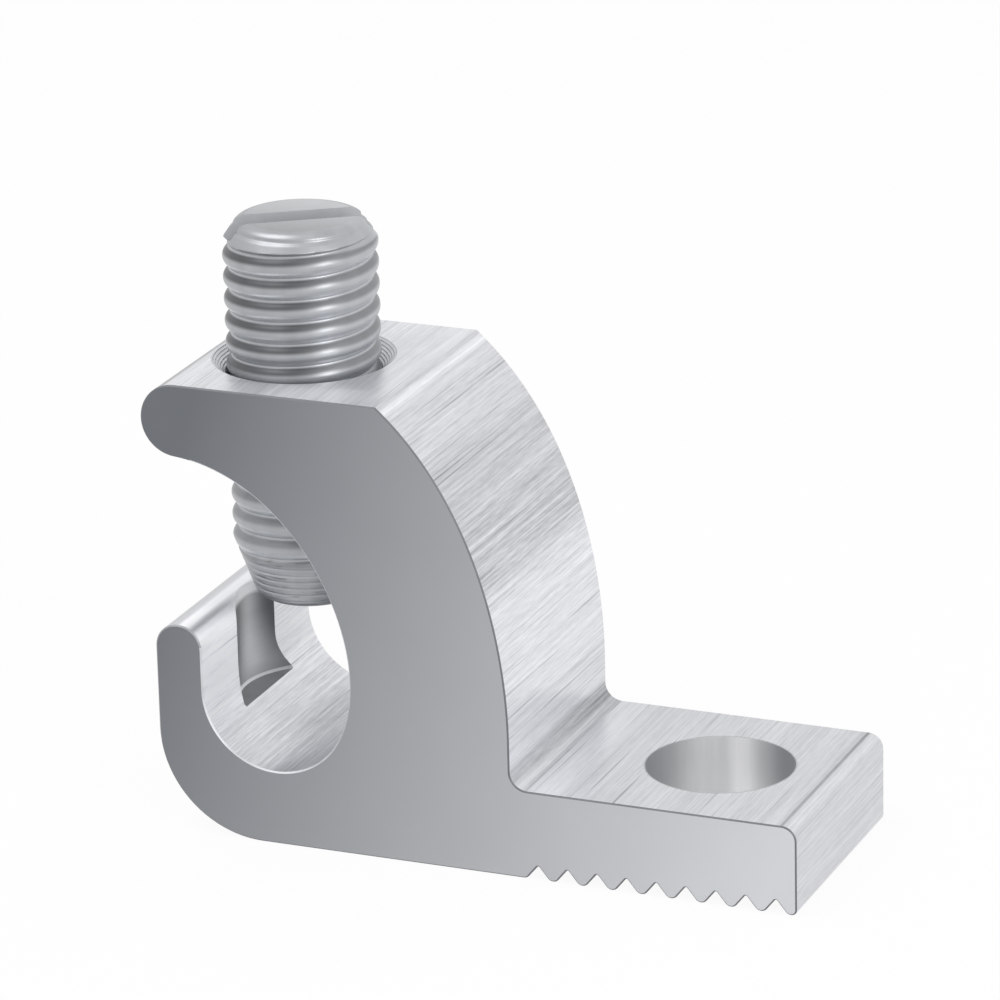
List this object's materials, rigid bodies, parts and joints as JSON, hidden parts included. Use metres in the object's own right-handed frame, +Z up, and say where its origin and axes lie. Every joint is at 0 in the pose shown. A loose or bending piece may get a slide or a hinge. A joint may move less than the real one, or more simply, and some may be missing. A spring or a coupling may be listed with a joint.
{
  "type": "lay-in lug",
  "caption": "Aluminium lay-in lug: hooked jaw over an open conductor channel, slotted set screw from above, flat tang with a mounting hole and a serrated underside.",
  "frame": {"origin": "centre of the tang's mounting hole, on the flat underside", "axes": "+Z up out of the mounting hole, +X along the tang away from the jaw, Y across the extrusion's width"},
  "size_m": [0.0275, 0.0104, 0.0249],
  "materials": {
    "body": "plain extruded aluminium, drawn faces brushed across the width, sawn sides smooth",
    "screw": "rolled thread, smooth and bright"
  },
  "bodies": {
    "lug": {"lug_body": "body"},
    "screw": {"set_screw": "screw"}
  },
  "joints": [
    {"name": "screw_travel", "type": "slide", "parent": "lug", "child": "screw", "axis": [0, 0, 1], "range_m": [-0.0042, 0.007]}
  ]
}
